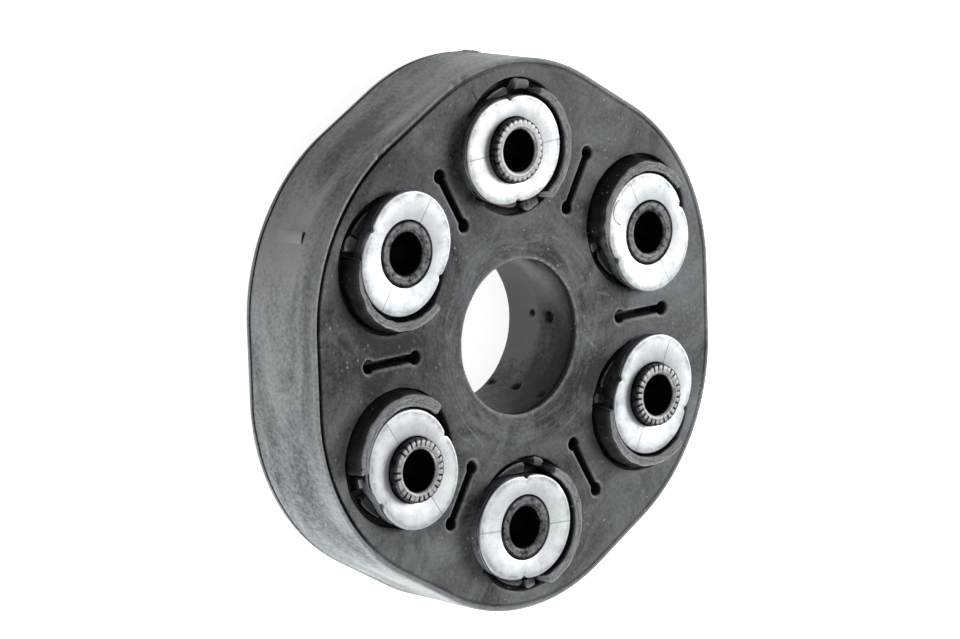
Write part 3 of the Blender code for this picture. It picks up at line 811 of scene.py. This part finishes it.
def addBore(shell):
    # The wall of the centre bore, with a thin lip at each mouth.
    face = disc["face"]
    wall = body["boreRadius"]
    rows = [(wall + 1.2, face), (wall + 0.55, face), (wall + 0.25, face - 0.08), (wall + 0.06, face - 0.25),
            (wall, face - 0.6), (wall + 0.02, face - 1.0), (wall + 0.22, face - 1.25), (wall + 0.22, face - 1.5)]
    rows += [(wall + 0.05, face - 1.9 - 0.66 * i) for i in range(34)]
    rows += [(wall, -face + 0.6), (wall + 0.2, -face + 0.15), (wall + 0.55, -face), (wall + 1.2, -face)]
    rings = []
    for radius, height in rows:
        ring = []
        # painted highlight on the mouth's rounding and painted shade in the lip's groove
        base = {1: 0.5, 2: 1.0, 3: 0.8, 5: -0.5, 6: -1.0, 7: -0.8}.get(len(rings), 0.0)
        pointShading = []
        for i in range(body["boreSteps"]):
            pitShade = 0.0
            around = i * 360.0 / body["boreSteps"]
            turn = math.radians(around)
            r = radius
            if abs(height) < face - 0.01:
                r += 0.1 * noise.noise(Vector(polar(6.0, turn, height * 0.3)))
                for middle, high, size, depth in pits:
                    along = angleBetween(around, middle) * math.radians(wall)
                    gap = math.hypot(along, height - high) / size
                    gap *= 1.0 + 0.5 * noise.noise(Vector((along * 2.0, height * 2.0, middle)))
                    if gap < 1.0:
                        r += depth * smoothStep(1.0, 0.45, gap)
                        # painted shade in the pit
                        pitShade = smoothStep(1.0, 0.5, gap)
            ring.append(polar(r, turn, height))
            pointShading.append(base - pitShade)
        rings.append(shell.ring(ring, None, pointShading))
    shell.stack(rings, flip=True)
    return rings[0], rings[-1]


def slotOutline(swell):
    # Two round ends joined by a narrow neck, with its edge moved outwards.
    end = body["slotEnd"] + swell
    neck = body["slotNeck"] + swell
    reach = body["slotLength"] / 2 - body["slotEnd"]
    meet = 180.0 - math.degrees(math.asin(neck / end)) if neck < end else 90.0
    right = []
    for i in range(17):
        angle = math.radians(-meet + 2 * meet * i / 16)
        right.append((reach + end * math.cos(angle), end * math.sin(angle)))
    start, finish = right[-1], (-right[0][0], -right[0][1])
    run = [(mix(start[0], finish[0], t / 4), mix(start[1], finish[1], t / 4)) for t in (1, 2, 3)]
    half = right + run
    return half + [(-x, -y) for x, y in half]


def addSlots(shell, rear):
    face = disc["face"]
    deep = face - body["slotDepth"]
    mouths = []
    for index in range(disc["bushCount"]):
        matrix = Matrix.Rotation(math.radians(index * 60.0), 4, "Z")
        matrix = matrix @ Matrix.Translation((body["slotCentre"], 0.0, 0.0))
        if rear:
            matrix = matrix @ Matrix.Rotation(math.pi, 4, "X")
        rows = [(1.1, face), (0.7, face - 0.03), (0.36, face - 0.13), (0.13, face - 0.34), (0.02, face - 0.7),
                (0.0, face - 1.3), (0.0, deep + 0.8), (-0.06, deep + 0.3), (-0.35, deep)]
        rings = []
        for swell, height in rows:
            # painted highlight on the mouth's rounding
            wear = {1: 0.3, 2: 0.7, 3: 0.4}.get(len(rings), 0.0)
            rings.append(shell.ring([(x, y, height) for x, y in slotOutline(swell)], matrix, wear))
        shell.stack(rings, flip=True)
        shell.faces.append(tuple(rings[-1]))
        mouths.append(rings[0])
    return mouths


def insideLoop(point, loop):
    inside = False
    for (ax, ay), (bx, by) in zip(loop, loop[1:] + loop[:1]):
        if (ay > point[1]) != (by > point[1]) and point[0] < (bx - ax) * (point[1] - ay) / (by - ay) + ax:
            inside = not inside
    return inside


def fillFace(shell, rim, holes, flip):
    # Triangles on the flat face between its rim and every hole in it.
    loops = [rim] + holes
    order = [index for loop in loops for index in loop]
    flat = [Vector(shell.points[index][:2]) for index in order]
    edges = []
    start = 0
    for loop in loops:
        count = len(loop)
        edges += [(start + i, start + (i + 1) % count) for i in range(count)]
        start += count
    made = delaunay_2d_cdt(flat, edges, [], 0, 1e-5, True)
    outlines = [[tuple(shell.points[index][:2]) for index in loop] for loop in loops]
    boxes = []
    for outline in outlines[1:]:
        xs, ys = [p[0] for p in outline], [p[1] for p in outline]
        boxes.append((min(xs), max(xs), min(ys), max(ys), outline))
    for face in made[2]:
        middle = sum((made[0][i] for i in face), Vector((0.0, 0.0))) / 3.0
        if not insideLoop(middle, outlines[0]):
            continue
        x, y = middle
        if any(a < x < b and c < y < d and insideLoop(middle, o) for a, b, c, d, o in boxes):
            continue
        corners = tuple(order[made[3][i][0]] for i in face)
        shell.faces.append(corners[::-1] if flip else corners)


def coreRing():
    steps = body["rearSteps"]
    ring = []
    for i in range(steps):
        turn = math.radians(i * 360.0 / steps)
        radius = rayToCircle(0.0, body["coreRadius"], turn)
        ring.append((disc["pocketShift"] + radius * math.cos(turn), radius * math.sin(turn)))
    return ring


def prism(name, outlines, low, high, group):
    # A closed tube or rod between two heights, from one outline or an outer and an inner one.
    shell = Shell()
    lows = [shell.ring([(x, y, low) for x, y in outline]) for outline in outlines]
    highs = [shell.ring([(x, y, high) for x, y in outline]) for outline in outlines]
    shell.skin(highs[0], lows[0])
    if len(outlines) == 1:
        shell.faces += [tuple(highs[0]), tuple(lows[0][::-1])]
    else:
        shell.skin(highs[1], lows[1], flip=True)
        shell.skin(highs[1], highs[0])
        shell.skin(lows[1], lows[0], flip=True)
    made = bpy.data.objects.new(name, storeMesh(name, shell.points, shell.faces))
    group.objects.link(made)
    return made


def racetrack(radius, start, end):
    # Two half circles round two bushes, joined by straight runs.
    along = math.atan2(end[1] - start[1], end[0] - start[0])
    points = []
    for centre, first in ((end, along - math.pi / 2), (start, along + math.pi / 2)):
        for i in range(25):
            turn = first + math.pi * i / 24
            points.append((centre[0] + radius * math.cos(turn), centre[1] + radius * math.sin(turn)))
    return points


def cavity():
    # The hollows that the bushes and the cord loops fill, as one closed surface.
    group = bpy.data.collections.new("hollows")
    bpy.context.scene.collection.children.link(group)
    centres = [bushMatrix(i).translation for i in range(disc["bushCount"])]
    rods = []
    for index in range(disc["bushCount"]):
        outline = [tuple((bushMatrix(index) @ Vector((x, y, 0.0)))[:2]) for x, y in coreRing()]
        rods.append(prism(f"core{index}", [outline], -body["padTop"], body["padTop"], group))
    gap = body["fitGap"]
    for number in range(3):
        close = (centres[2 * number + 1], centres[(2 * number + 2) % disc["bushCount"]])
        wide = (centres[2 * number], centres[2 * number + 1])
        for pair, (low, high) in zip((close, wide, close), body["loopHeights"]):
            outlines = [racetrack(body["coreRadius"] + body["loopWidth"] + gap, *pair),
                        racetrack(body["coreRadius"] - gap, *pair)]
            prism("channel", outlines, low - gap, high + gap, group)
    first = rods[0]
    group.objects.unlink(first)
    bpy.context.scene.collection.objects.link(first)
    cut = first.modifiers.new("join", "BOOLEAN")
    cut.operation = "UNION"
    cut.solver = "EXACT"
    cut.operand_type = "COLLECTION"
    cut.collection = group
    mesh = evaluatedMesh(first)
    scale = 1.0 / disc["millimetre"]
    points = [vertex.co * scale for vertex in mesh.vertices]
    faces = []
    for polygon in mesh.polygons:
        middle = sum(points[i].z for i in polygon.vertices) / len(polygon.vertices)
        if abs(middle) > body["padTop"] - 0.01:  # the rod's two ends, open to the pockets
            continue
        faces.append(tuple(polygon.vertices)[::-1])
    for made in list(group.objects) + [first]:
        bpy.data.objects.remove(made, do_unlink=True)
    bpy.data.collections.remove(group)
    return points, faces


def makeBody():
    shell = Shell()
    frontRim, rearRim = addSide(shell)
    addSideTab(shell)
    frontBore, rearBore = addBore(shell)
    patches = [[addPatch(shell, index, rear) for index in range(disc["bushCount"])] for rear in (False, True)]
    slots = [addSlots(shell, rear) for rear in (False, True)]
    fillFace(shell, frontRim, [frontBore] + patches[0] + slots[0], False)
    fillFace(shell, rearRim, [rearBore] + patches[1] + slots[1], True)
    points, faces = cavity()
    start = len(shell.points)
    shell.points += points
    shell.faces += [tuple(start + i for i in face) for face in faces]
    mesh = storeMesh("rubberBody", shell.points, shell.faces)
    work = bmesh.new()
    work.from_mesh(mesh)
    layers = work.verts.layers
    layers.float.new("edgeLightAndShade")
    layers.float_vector.new("roundPocket")
    lightShadeLayer, ringLayer = layers.float["edgeLightAndShade"], layers.float_vector["roundPocket"]
    # painted highlight and shade, one value per point
    for vertex, wear, around in zip(work.verts, shell.wear, shell.around):
        vertex[lightShadeLayer] = wear
        vertex[ringLayer] = around
    bmesh.ops.remove_doubles(work, verts=work.verts, dist=disc["weld"] * disc["millimetre"])
    bmesh.ops.triangulate(work, faces=[f for f in work.faces if len(f.verts) > 4])
    closedCheck("rubberBody", work)
    work.to_mesh(mesh)
    work.free()
    side, bore, deep, high = pointLooks(mesh, "sideWall", "boreWall", "pocketPaintedShade", "collarTop")
    for vertex in mesh.vertices:
        x, y, z = vertex.co / disc["millimetre"]
        around = math.degrees(math.atan2(y, x))
        corner = round((around - 30.0) / 60.0) * 60.0 + 30.0
        middleX, middleY = polar(body["cornerDistance"], math.radians(corner))
        reach = math.hypot(x - middleX, y - middleY)
        outside = smoothStep(body["cornerRadius"] - 0.5, body["cornerRadius"] - 0.12, reach)
        inside = smoothStep(body["boreRadius"] + 0.9, body["boreRadius"] + 0.2, math.hypot(x, y))
        side[vertex.index].value = outside
        bore[vertex.index].value = inside
        # painted shade: how far below the face, away from the wall and bore
        deep[vertex.index].value = smoothStep(12.72, 11.9, abs(z)) * (1.0 - inside) * (1.0 - outside)
        high[vertex.index].value = smoothStep(16.1, 16.6, abs(z))
    smoothShade(mesh, body["sharpAngle"])
    mesh.materials.append(rubberMaterial)
    return place("rubberBody", mesh)


rubberBody = makeBody()
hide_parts("rubber_body")
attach(rubberBody, "root")


# plates

plate = {
    "lobeRadius": 13.2,
    "lobeShift": 2.5,
    "top": 16.2,
    "thickness": 1.6,
    "hubRadius": 10.7,
    "holeRadius": 8.35,
    "hubEnd": 0.15,
    "notchDepth": 0.55,
    "notchWidth": 0.9,
    "steps": 180,
    "sharpAngle": 40.0,
}
plateEdge = [(1.9, 0.0), (1.4, 0.0), (1.0, 0.01), (0.75, 0.02), (0.5, 0.03), (0.3, 0.06), (0.12, 0.15), (0.03, 0.28),
             (0.0, 0.42)]  # how far inside the outline, and how far below the top
dieRollShadeRows = {5: 0.35, 6: 0.8, 7: 1.0, 8: 0.4}  # painted shade along the die roll just inside the edge


def plateReach(turn, inset):
    # Edge of the plate from the bush's middle: two lobes, and a nick on each side where they meet.
    radius = plate["lobeRadius"]
    reach = 0.0
    for shift in (plate["lobeShift"], -plate["lobeShift"]):
        along = shift * math.cos(turn) + math.sqrt(radius**2 - (shift * math.sin(turn)) ** 2)
        reach = max(reach, along)
    across = abs(reach * math.cos(turn))
    nick = plate["notchDepth"] * smoothStep(plate["notchWidth"], 0.2, across)
    return reach - nick - inset


def makePlates():
    top = plate["top"]
    under = top - plate["thickness"]
    hole, hub = plate["holeRadius"], plate["hubRadius"]
    shell = Shell()

    turns = [2 * math.pi * i / plate["steps"] for i in range(plate["steps"])]

    def circle(radius, height):
        return shell.ring([polar(radius, turn, height) for turn in turns])

    def outline(inset, height):
        return shell.ring([polar(plateReach(turn, inset), turn, height) for turn in turns])

    rings = [circle(hole, plate["hubEnd"]), circle(hole, top - 0.3), circle(hole + 0.08, top - 0.08),
             circle(hole + 0.3, top)]
    rings += [outline(inset, top - drop) for inset, drop in plateEdge]
    rings += [outline(0.0, under + 0.15), outline(0.15, under), circle(hub + 0.3, under), circle(hub, under - 0.3),
              circle(hub, plate["hubEnd"])]
    shell.stack(rings + rings[:1])
    for number in range(1, disc["bushCount"] + 1):
        for rear in (False, True):
            name = ("rear" if rear else "front") + "Flange" + str(number)
            matrix = bushMatrix(number - 1, rear)
            mesh = storeMesh(name, [matrix @ p for p in shell.points], shell.faces)
            uv = mesh.uv_layers.new(name="platePlane")
            for loop in mesh.loops:
                local = shell.points[loop.vertex_index]
                uv.data[loop.index].uv = (local.x / 100.0, local.y / 100.0)  # one unit is 100 mm
            rim, dieRollShadeAmount = pointLooks(mesh, "plateRim", "dieRollShadeBand")
            for index, local in enumerate(shell.points):
                rim[index].value = smoothStep(top - 0.1, top - 0.3, local.z)
                # painted shade along the die roll
                dieRollShadeAmount[index].value = dieRollShadeRows.get(index // plate["steps"], 0.0)
            smoothShade(mesh, plate["sharpAngle"])
            mesh.materials.append(zincMaterial)
            made = place(name, mesh)
            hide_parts(("rear" if rear else "front") + "_flange_" + str(number))
            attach(made, "root")


makePlates()
print("flanges made")


# sleeves, from one tree that wraps a profile and cuts its teeth

sleeve = {
    "boreRadius": 5.25,
    "outerRadius": 8.05,
    "high": 18.3,
    "low": -16.2,
    "toothCount": 28,
    "toothDepth": 0.13,
    "pointsPerTooth": 8,
    "toothStart": 5.9,  # how far out the teeth begin to show on the end
    "firstToothStart": 6.8,
    "sharpAngle": 45.0,
}


def sleeveProfile():
    # Radius, height, and how deep the teeth cut there, from the bore's mouth outwards.
    bore, outer, high, low = (sleeve[key] for key in ("boreRadius", "outerRadius", "high", "low"))
    return [(bore, high - 0.9, 0.0), (bore + 0.1, high - 0.5, 0.0), (bore + 0.35, high - 0.2, 0.0),
            (bore + 0.6, high - 0.04, 0.0), (bore + 0.75, high, 0.0), (bore + 1.0, high, 0.0), (bore + 1.35, high, 0.0),
            (bore + 1.8, high - 0.01, 0.25), (outer - 0.4, high - 0.04, 0.75), (outer - 0.12, high - 0.14, 1.0),
            (outer, high - 0.4, 0.9), (outer, high - 0.9, 0.4), (outer, high - 1.5, 0.0), (outer, 9.0, 0.0),
            (outer, 0.0, 0.0), (outer, -9.0, 0.0), (outer, low + 0.3, 0.0), (outer - 0.09, low + 0.09, 0.0),
            (outer - 0.3, low, 0.0), (bore + 1.9, low, 0.0), (bore + 1.2, low, 0.0), (bore + 0.7, low, 0.0),
            (bore + 0.45, low + 0.08, 0.0), (bore + 0.15, low + 0.35, 0.0), (bore, low + 0.8, 0.0), (bore, -9.0, 0.0),
            (bore, 0.0, 0.0), (bore, 9.0, 0.0)]


def sleeveTree(profilePoints):
    tree = bpy.data.node_groups.new("sleeveTeeth", "GeometryNodeTree")
    face = tree.interface
    face.new_socket("Geometry", in_out="INPUT", socket_type="NodeSocketGeometry")
    for name, kind, value in (("Tooth Count", "NodeSocketInt", sleeve["toothCount"]),
                              ("Points Per Tooth", "NodeSocketInt", sleeve["pointsPerTooth"]),
                              ("Profile Points", "NodeSocketInt", profilePoints),
                              ("Tooth Depth", "NodeSocketFloat", sleeve["toothDepth"] * disc["millimetre"])):
        face.new_socket(name, in_out="INPUT", socket_type=kind).default_value = value
    face.new_socket("Material", in_out="INPUT", socket_type="NodeSocketMaterial")
    face.new_socket("Geometry", in_out="OUTPUT", socket_type="NodeSocketGeometry")
    given = addNode(tree, "NodeGroupInput").outputs
    toothed = times(tree, given["Tooth Count"], given["Points Per Tooth"])
    grid = addNode(tree, "GeometryNodeMeshGrid", {"Size X": 1.0, "Size Y": 1.0, "Vertices X": plus(tree, toothed, 1.0),
                                                  "Vertices Y": plus(tree, given["Profile Points"], 1.0)})
    spot = addNode(tree, "GeometryNodeInputPosition").outputs[0]
    turn = times(tree, plus(tree, splitUp(tree, spot, "X"), 0.5), 2 * math.pi)
    along = times(tree, plus(tree, splitUp(tree, spot, "Y"), 0.5), given["Profile Points"])
    row = maths(tree, "MODULO", maths(tree, "ROUND", along), given["Profile Points"])
    taken = addNode(tree, "GeometryNodeSampleIndex", data_type="FLOAT_VECTOR", domain="POINT")
    for socket, source in ((0, given["Geometry"]), (1, spot), ("Index", row)):
        tree.links.new(source, taken.inputs[socket])
    profile = addNode(tree, "ShaderNodeSeparateXYZ", {0: taken.outputs[0]}).outputs
    # the profile's Y holds how deep the teeth cut at that point
    wave = maths(tree, "COSINE", times(tree, turn, given["Tooth Count"]))
    valley = maths(tree, "POWER", times(tree, plus(tree, wave, 1.0), 0.5), 3.0)
    weight = times(tree, profile["Y"], 1.0 / disc["millimetre"])
    cut = times(tree, times(tree, valley, weight), given["Tooth Depth"])
    radius = maths(tree, "SUBTRACT", profile["X"], times(tree, cut, 0.3))
    joined = addNode(tree, "ShaderNodeCombineXYZ", {"X": times(tree, radius, maths(tree, "COSINE", turn)),
                                                    "Y": times(tree, radius, maths(tree, "SINE", turn)),
                                                    "Z": maths(tree, "SUBTRACT", profile["Z"], cut)}).outputs[0]
    moved = addNode(tree, "GeometryNodeSetPosition", {"Geometry": grid.outputs["Mesh"], "Position": joined})
    weld = disc["weld"] * disc["millimetre"]
    welded = addNode(tree, "GeometryNodeMergeByDistance", {"Distance": weld, "Geometry": moved.outputs[0]})
    real = addNode(tree, "GeometryNodeRealizeInstances", {"Geometry": welded.outputs[0]})
    dressed = addNode(tree, "GeometryNodeSetMaterial", {"Geometry": real.outputs[0], "Material": given["Material"]})
    out = addNode(tree, "NodeGroupOutput", {"Geometry": dressed.outputs[0]})
    out.is_active_output = True
    return tree


def makeSleeves():
    profile = sleeveProfile()
    scale = disc["millimetre"]
    mesh = bpy.data.meshes.new("sleeveProfile")
    mesh.from_pydata([(r * scale, weight * scale, z * scale) for r, z, weight in profile], [], [])
    base = place("sleeveProfile", mesh)
    tree = sleeveTree(len(profile))
    modifier = base.modifiers.new("teeth", "NODES")
    modifier.node_group = tree
    sockets = {item.name: item.identifier for item in tree.interface.items_tree if item.in_out == "INPUT"}
    modifier[sockets["Profile Points"]] = len(profile)
    modifier[sockets["Material"]] = steelMaterial
    whole = evaluatedMesh(base)
    base.modifiers.remove(modifier)
    work = bmesh.new()
    work.from_mesh(whole)
    bmesh.ops.recalc_face_normals(work, faces=work.faces)
    closedCheck("sleeve", work)
    work.to_mesh(whole)
    work.free()
    high, low, mouth = sleeve["high"], sleeve["low"], sleeve["boreRadius"]
    looks = ("endFace", "sleeveBoreShade", "sleeveRadius", "proudEnd", "toothValleyShade")
    for number in range(1, disc["bushCount"] + 1):
        copy = whole.copy()
        copy.name = "sleeve" + str(number)
        starts = sleeve["firstToothStart"] if number == 1 else sleeve["toothStart"]
        endFace, inside, ringRadius, proud, valleyShade = pointLooks(copy, *looks)
        for vertex in copy.vertices:
            radius = vertex.co.xy.length / scale
            z = vertex.co.z / scale
            end = max(smoothStep(high - 0.7, high - 0.3, z), smoothStep(low + 0.5, low + 0.1, z))
            endFace[vertex.index].value = end
            ringRadius[vertex.index].value = radius / 10.0
            tooth = math.atan2(vertex.co.y, vertex.co.x) / (2 * math.pi) * sleeve["toothCount"]
            valley = smoothStep(0.0, 0.8, math.cos(2 * math.pi * tooth))
            chance = smoothStep(-0.6, -0.1, noise.noise(Vector((round(tooth) * 1.7, number * 3.1, 0.0))))
            front = 1.0 if z > 0.0 else 0.0
            # painted shade in some of the teeth's valleys, on the proud end
            valleyShade[vertex.index].value = valley * chance * smoothStep(starts, starts + 0.6, radius) * front
            proud[vertex.index].value = front
            deep = min(high - z, z - low)
            # painted shade in the bore, away from its mouths
            inside[vertex.index].value = smoothStep(mouth + 0.4, mouth + 0.1, radius) * smoothStep(0.2, 0.9, deep)
        matrix = bushMatrix(number - 1, rear=number % 2 == 0)
        matrix.translation = matrix.translation * scale
        copy.transform(matrix)
        smoothShade(copy, sleeve["sharpAngle"])
        made = place("sleeve" + str(number), copy)
        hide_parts("sleeve_" + str(number))
        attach(made, "root")
    bpy.data.objects.remove(base, do_unlink=True)


makeSleeves()
print("sleeves made")


# cord loops keep their frame solids

for name, node in frame["nodes"].items():
    if "loop" in name:
        for holder in node.material_slots:
            holder.material = cordMaterial
        if not node.material_slots:
            node.data.materials.append(cordMaterial)
print("cords dressed")


# floor and light

studio = {
    "floorHeight": -18.31,
    "floorSize": 6000.0,
    "floorTone": "#f2f2f2",
    "floorGlow": 0.9,
    "floorRoughness": 0.9,
    "floorShine": 0.1,
    "keyPlace": (1.2, 0.2, 0.85),
    "keySize": 0.6,
    "keyPower": 19.0,
    "fillPlace": (-0.6, -1.2, 0.12),
    "fillSize": 0.8,
    "fillPower": 27.0,
    "worldStrength": 0.16,
}


def seenRays(tree):
    # Rays that show a background: straight from the camera, off metal and through glass.
    path = addNode(tree, "ShaderNodeLightPath").outputs
    direct = plus(tree, path["Is Camera Ray"], path["Is Glossy Ray"])
    return plus(tree, direct, path["Is Transmission Ray"], clamp=True)


def paleFloor():
    # Seamless studio paper: it shows white to the camera and keeps a faint shadow.
    made, tree, shader = newMaterial("paleFloor")
    shader.inputs["Base Color"].default_value = toLinear(studio["floorTone"])
    shader.inputs["Roughness"].default_value = studio["floorRoughness"]
    shader.inputs["Specular IOR Level"].default_value = studio["floorShine"]
    glow = addNode(tree, "ShaderNodeEmission", {"Strength": studio["floorGlow"]})
    both = addNode(tree, "ShaderNodeAddShader", {0: shader.outputs[0], 1: glow.outputs[0]})
    chosen = addNode(tree, "ShaderNodeMixShader", {0: seenRays(tree), 1: shader.outputs[0], 2: both.outputs[0]})
    tree.links.new(chosen.outputs[0], tree.nodes["Material Output"].inputs["Surface"])
    return made


def makeStudio():
    half = studio["floorSize"] / 2
    z = studio["floorHeight"]
    corners = [(-half, -half, z), (half, -half, z), (half, half, z), (-half, half, z)]
    floor = place("floor", storeMesh("floor", corners, [(0, 1, 2, 3)]))
    floor.data.materials.append(paleFloor())
    for name in ("key", "fill"):
        lamp = bpy.data.lights.new(name, "AREA")
        lamp.shape = "SQUARE"
        lamp.size = studio[name + "Size"]
        lamp.energy = studio[name + "Power"]
        holder = bpy.data.objects.new(name, lamp)
        spot = Vector(studio[name + "Place"])
        turn = spot.to_track_quat("Z", "Y").to_matrix().to_4x4()
        turn.translation = spot
        holder.matrix_world = turn
        bpy.context.scene.collection.objects.link(holder)
    world = bpy.data.worlds.new("studio")
    bpy.context.scene.world = world
    world.use_nodes = True
    tree = world.node_tree
    tree.nodes.clear()
    white = (1.0, 1.0, 1.0, 1.0)
    soft, seen = (addNode(tree, "ShaderNodeBackground", {"Color": white, "Strength": strength}).outputs[0]
                  for strength in (studio["worldStrength"], 1.0))
    chosen = addNode(tree, "ShaderNodeMixShader", {0: seenRays(tree), 1: soft, 2: seen})
    addNode(tree, "ShaderNodeOutputWorld", {0: chosen.outputs[0]})


makeStudio()
bpy.context.scene.view_settings.view_transform = "Standard"
print("studio set")
